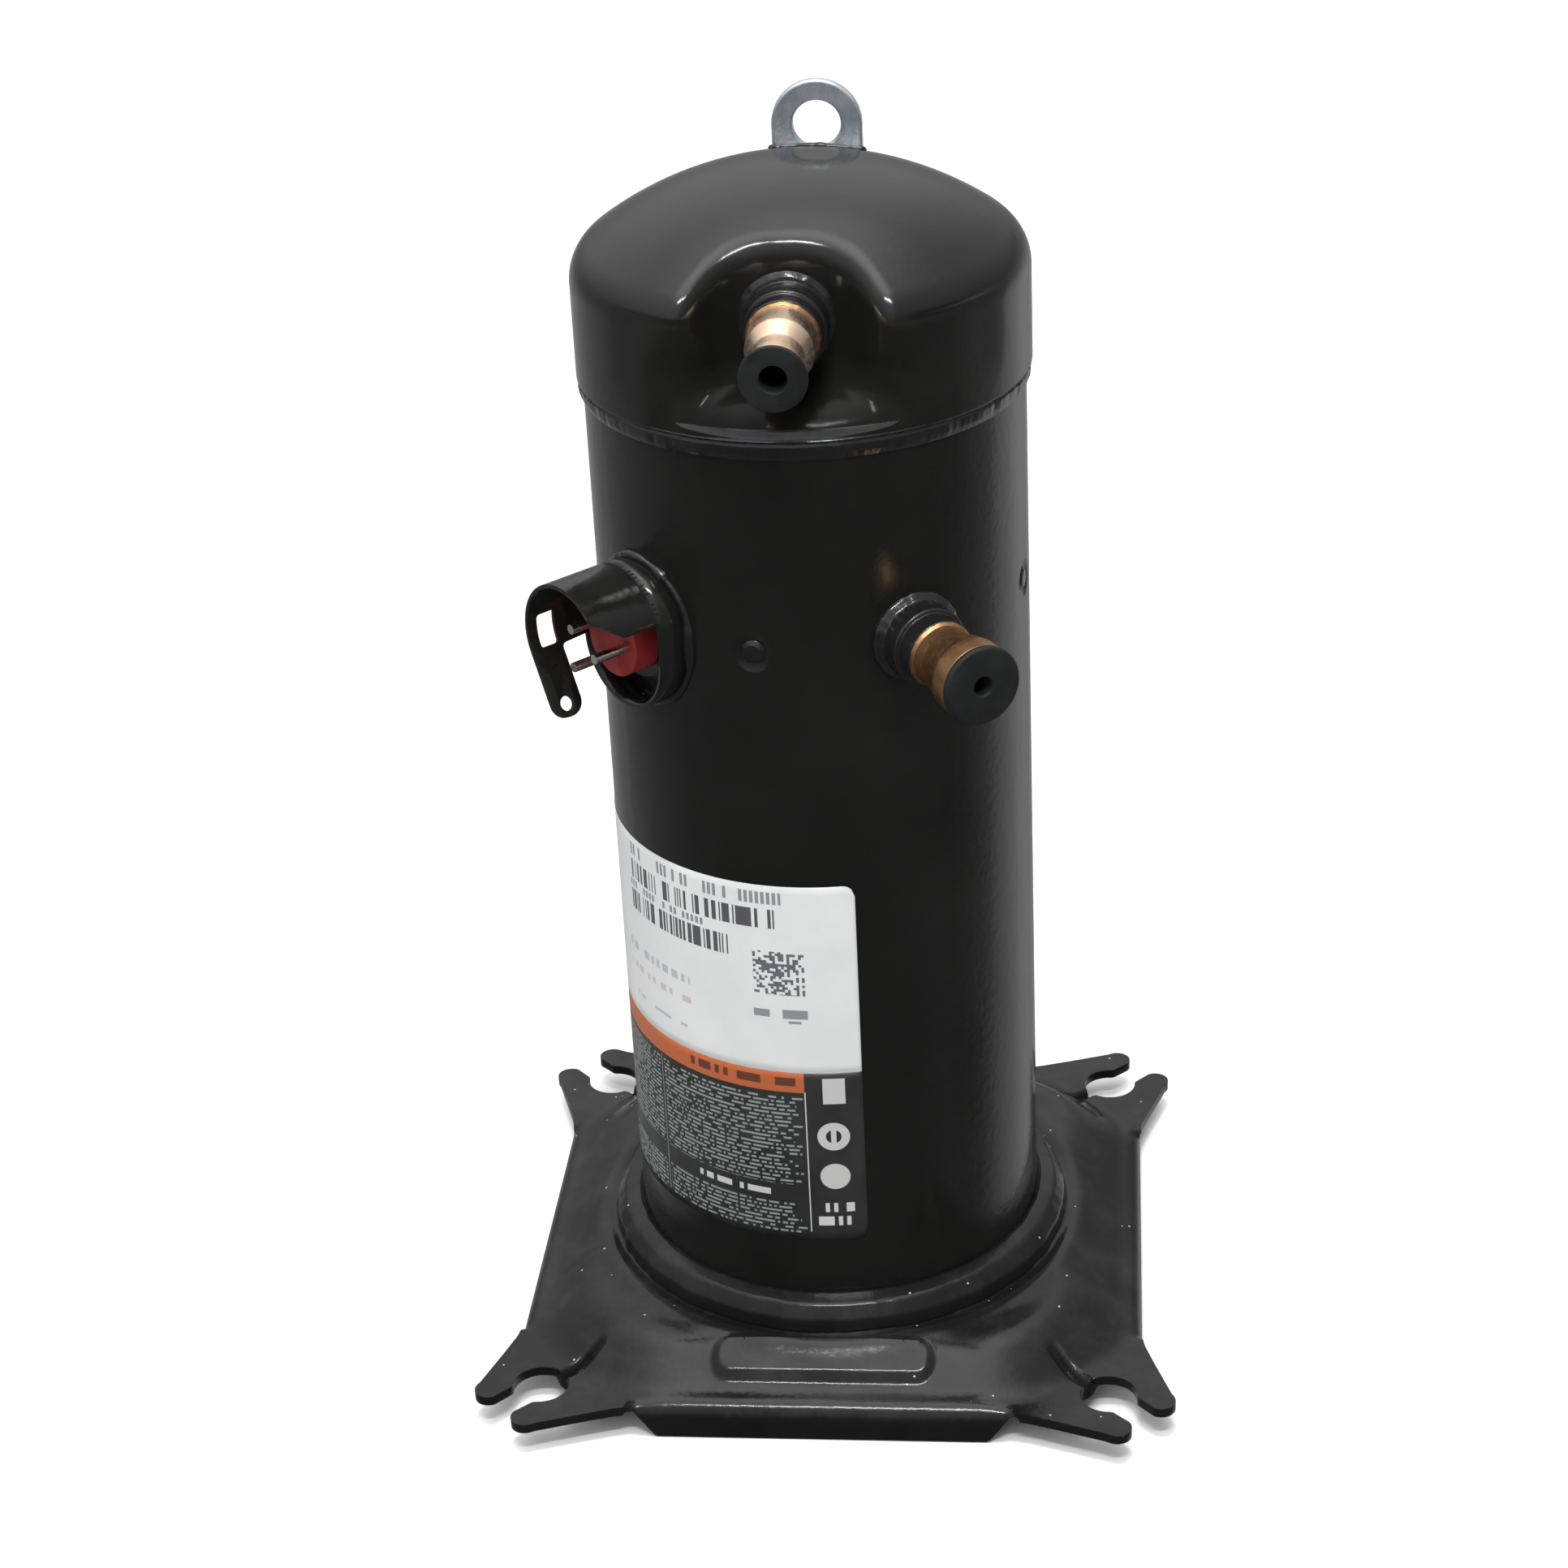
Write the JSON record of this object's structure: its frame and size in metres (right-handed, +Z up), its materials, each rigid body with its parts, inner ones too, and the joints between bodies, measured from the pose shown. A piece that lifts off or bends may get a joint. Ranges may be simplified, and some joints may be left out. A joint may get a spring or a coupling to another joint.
{
  "type": "scroll compressor",
  "caption": "Hermetic scroll compressor: tall black welded shell with domed cap, lifting eye, capped copper stubs, terminal cup and a square mounting plate with open bolt ears.",
  "frame": {"origin": "on the crankshaft's axis, at the level of the lower edges of the mounting plate's flanges", "axes": "+Z up along the crankshaft, -Y towards the discharge stub on the cap, +X to the side where the suction stub is"},
  "size_m": [0.2348, 0.2348, 0.421],
  "materials": {
    "black_paint": "high gloss black enamel",
    "zinc_plate": "bright zinc plating",
    "copper": "drawn copper, slightly oxidised",
    "plug_rubber": "matte moulded rubber",
    "label_white": "printed polyester film, white",
    "label_dark": "printed polyester film, dark grey and orange",
    "pin_steel": "plated steel",
    "red_insulator": "dark red moulded insulator",
    "cast_iron": "machined cast iron",
    "sintered_steel": "sintered steel",
    "bare_steel": "pressed bare steel",
    "bearing_bronze": "bearing bronze",
    "seal_polymer": "filled polymer seal",
    "ground_steel": "ground steel",
    "lamination_steel": "stacked laminations",
    "cast_aluminium": "die-cast aluminium",
    "copper_winding": "enamelled copper wire, laced",
    "protector_plastic": "moulded case"
  },
  "bodies": {
    "casing": {"base_plate": "black_paint", "discharge_fitting": "black_paint", "discharge_tube": "copper", "fixed_scroll": "cast_iron", "lifting_eye": "zinc_plate", "lower_bearing": "bearing_bronze", "lower_bearing_bracket": "bare_steel", "lower_cap": "black_paint", "lower_thrust_washer": "bearing_bronze", "main_bearing": "bearing_bronze", "main_bearing_housing": "cast_iron", "motor_protector": "protector_plastic", "muffler_plate": "bare_steel", "notice_label": "label_dark", "pressure_relief_valve": "bearing_bronze", "rating_label": "label_white", "scroll_bolts": "pin_steel", "shell_tube": "black_paint", "stator_core": "lamination_steel", "stator_windings": "copper_winding", "suction_baffle": "bare_steel", "suction_fitting": "black_paint", "suction_tube": "copper", "terminal_body": "black_paint", "terminal_fence": "black_paint", "terminal_insulator": "red_insulator", "terminal_pins": "pin_steel", "thrust_plate": "ground_steel", "top_cap": "black_paint", "valve_retainer": "pin_steel"},
    "rotating_group": {"crankshaft": "ground_steel", "oil_pickup": "bare_steel", "rotor_core": "lamination_steel", "rotor_end_rings": "cast_aluminium", "upper_counterweight": "bearing_bronze", "lower_counterweight": "bearing_bronze", "drive_bushing": "ground_steel"},
    "orbiting_group": {"orbiting_scroll": "cast_iron", "drive_bearing": "bearing_bronze"},
    "oldham_coupling": {"oldham_ring": "sintered_steel"},
    "seal": {"floating_seal": "seal_polymer"},
    "check_valve": {"check_valve_disc": "pin_steel"},
    "suction_cap_plug": {"suction_plug": "plug_rubber"},
    "discharge_cap_plug": {"discharge_plug": "plug_rubber"}
  },
  "joints": [
    {"name": "crank_spin", "type": "hinge", "parent": "casing", "child": "rotating_group", "pos_m": [0, 0, 0.15], "axis": [0, 0, 1], "continuous": true},
    {"name": "scroll_orbit", "type": "hinge", "parent": "rotating_group", "child": "orbiting_group", "pos_m": [0.00405, 0, 0.28], "axis": [0, 0, 1], "continuous": true},
    {"name": "oldham_slide", "type": "slide", "parent": "casing", "child": "oldham_coupling", "axis": [0, 1, 0], "range_m": [-0.00405, 0.00405]},
    {"name": "seal_lift", "type": "slide", "parent": "casing", "child": "seal", "axis": [0, 0, 1], "range_m": [0, 0.0015]},
    {"name": "valve_lift", "type": "slide", "parent": "casing", "child": "check_valve", "axis": [0, 0, 1], "range_m": [0, 0.002]},
    {"name": "suction_plug_pull", "type": "slide", "parent": "casing", "child": "suction_cap_plug", "axis": [0.5225, -0.8526, 0], "range_m": [0, 0.03]},
    {"name": "discharge_plug_pull", "type": "slide", "parent": "casing", "child": "discharge_cap_plug", "axis": [0, -1, 0], "range_m": [0, 0.03]}
  ],
  "couplings": [
    {"joint": "scroll_orbit", "follows": "crank_spin", "ratio": -1}
  ]
}
